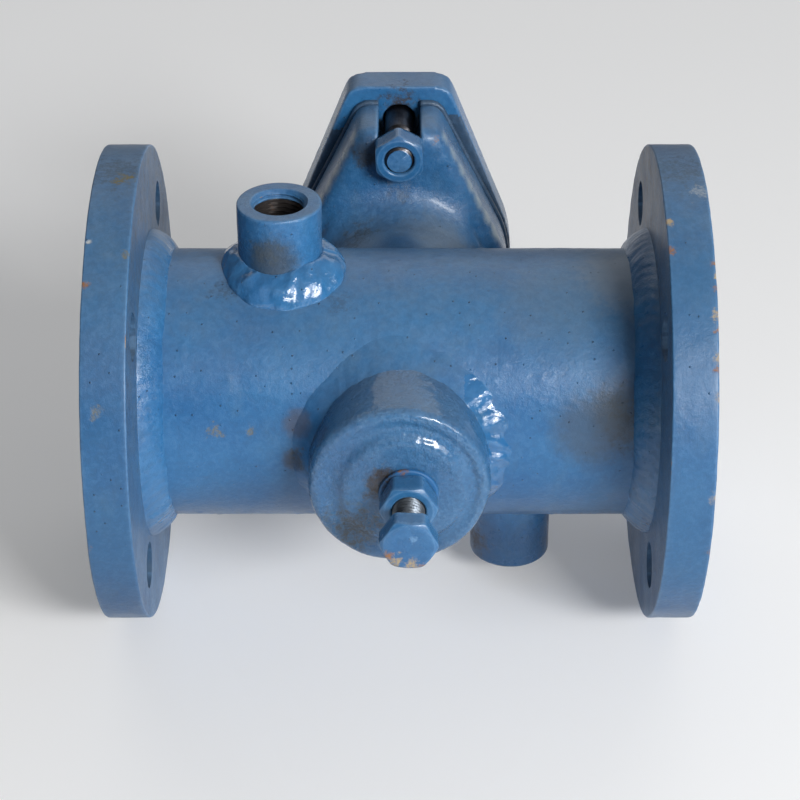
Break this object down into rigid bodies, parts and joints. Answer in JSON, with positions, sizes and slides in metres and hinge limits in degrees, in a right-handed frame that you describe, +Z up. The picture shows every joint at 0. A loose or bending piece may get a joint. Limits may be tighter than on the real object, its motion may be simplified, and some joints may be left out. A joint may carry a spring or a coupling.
{
  "type": "adjustable steam trap",
  "caption": "In-line flanged steam trap: welded body, bimetal valve stack, adjusting screw with lock nut in front, two threaded ports, bolted cover at the rear.",
  "frame": {"origin": "centre of the inlet flange's raised face, on the pipe axis", "axes": "+X along the flow to the outlet, +Z up towards the upper threaded port, -Y towards the adjusting screw, +Y towards the cover"},
  "size_m": [0.23, 0.2345, 0.185],
  "materials": {
    "blue_enamel": "glossy hand-brushed enamel with small chips",
    "blue_weld": "thick glossy enamel over rippled weld beads",
    "blue_casting": "enamel over a grainy casting",
    "blue_fastener": "thin enamel with bare edges",
    "bolt_steel": "dark oiled steel",
    "sheet_gasket": "compressed fibre sheet, painted at the edge",
    "seal_fibre": "dark soft washer with rust stain",
    "mill_steel": "bare mill steel",
    "stainless": "turned stainless steel",
    "copper": "soft copper",
    "bimetal": "rolled bimetal strip, straw coloured",
    "spring_steel": "drawn spring wire"
  },
  "bodies": {
    "body": {"inlet_flange": "blue_enamel", "outlet_flange": "blue_enamel", "body_tube": "blue_enamel", "inlet_flange_weld": "blue_weld", "outlet_flange_weld": "blue_weld", "top_port_boss": "blue_enamel", "top_port_weld": "blue_weld", "bottom_port_boss": "blue_enamel", "bottom_port_weld": "blue_weld", "front_cap": "blue_casting", "front_cap_weld": "blue_weld", "cover_branch": "blue_casting", "branch_weld": "blue_weld", "cover_gasket": "sheet_gasket", "cover_plate": "blue_enamel", "cover_bolts": "bolt_steel", "cover_nuts": "blue_fastener", "partition_plate": "mill_steel", "seat_carrier": "stainless", "seat_gasket": "copper", "valve_seat": "stainless", "return_spring": "spring_steel", "strainer_basket": "stainless"},
    "pad": {"thrust_pad": "stainless"},
    "screw": {"adjusting_screw": "blue_fastener"},
    "seal": {"screw_seal": "seal_fibre"},
    "nut": {"lock_nut": "blue_fastener"},
    "plug": {"valve_plug": "stainless"},
    "pair_1": {"bimetal_pair_1": "bimetal"},
    "pair_2": {"bimetal_pair_2": "bimetal"},
    "pair_3": {"bimetal_pair_3": "bimetal"},
    "pair_4": {"bimetal_pair_4": "bimetal"},
    "pair_5": {"bimetal_pair_5": "bimetal"},
    "pair_6": {"bimetal_pair_6": "bimetal"},
    "pair_7": {"bimetal_pair_7": "bimetal"}
  },
  "joints": [
    {"name": "pad_travel", "type": "slide", "parent": "body", "child": "pad", "axis": [0, 1, 0], "range_m": [-0.0035, 0.00263], "deforming": ["return_spring"]},
    {"name": "screw_turn", "type": "hinge", "parent": "pad", "child": "screw", "pos_m": [0.1184, -0.095, 0], "axis": [0, 1, 0], "range_deg": [-720.1, 540.1]},
    {"name": "seal_travel", "type": "slide", "parent": "body", "child": "seal", "axis": [0, 1, 0], "range_m": [-0.0035, 0]},
    {"name": "nut_turn", "type": "hinge", "parent": "seal", "child": "nut", "pos_m": [0.1184, -0.095, 0], "axis": [0, 1, 0], "range_deg": [-720.1, 0.1]},
    {"name": "valve_lift", "type": "slide", "parent": "pad", "child": "plug", "axis": [0, 1, 0], "range_m": [0, 0.002], "stiffness_N_per_m": 1500, "springref_m": -0.004, "deforming": ["return_spring"]},
    {"name": "pair_1_shift", "type": "slide", "parent": "pad", "child": "pair_1", "axis": [0, 1, 0], "range_m": [0, 0.0001439]},
    {"name": "pair_2_shift", "type": "slide", "parent": "pad", "child": "pair_2", "axis": [0, 1, 0], "range_m": [0, 0.0004296]},
    {"name": "pair_3_shift", "type": "slide", "parent": "pad", "child": "pair_3", "axis": [0, 1, 0], "range_m": [0, 0.0007153]},
    {"name": "pair_4_shift", "type": "slide", "parent": "pad", "child": "pair_4", "axis": [0, 1, 0], "range_m": [0, 0.001]},
    {"name": "pair_5_shift", "type": "slide", "parent": "pad", "child": "pair_5", "axis": [0, 1, 0], "range_m": [0, 0.00129]},
    {"name": "pair_6_shift", "type": "slide", "parent": "pad", "child": "pair_6", "axis": [0, 1, 0], "range_m": [0, 0.00157]},
    {"name": "pair_7_shift", "type": "slide", "parent": "pad", "child": "pair_7", "axis": [0, 1, 0], "range_m": [0, 0.00186]}
  ],
  "couplings": [
    {"joint": "screw_turn", "follows": "pad_travel", "rad_per_m": 3590.4},
    {"joint": "nut_turn", "follows": "seal_travel", "rad_per_m": 3590.4},
    {"joint": "pair_1_shift", "follows": "valve_lift", "ratio": 0.071429},
    {"joint": "pair_2_shift", "follows": "valve_lift", "ratio": 0.21429},
    {"joint": "pair_3_shift", "follows": "valve_lift", "ratio": 0.35714},
    {"joint": "pair_4_shift", "follows": "valve_lift", "ratio": 0.5},
    {"joint": "pair_5_shift", "follows": "valve_lift", "ratio": 0.64286},
    {"joint": "pair_6_shift", "follows": "valve_lift", "ratio": 0.78571},
    {"joint": "pair_7_shift", "follows": "valve_lift", "ratio": 0.92857}
  ]
}
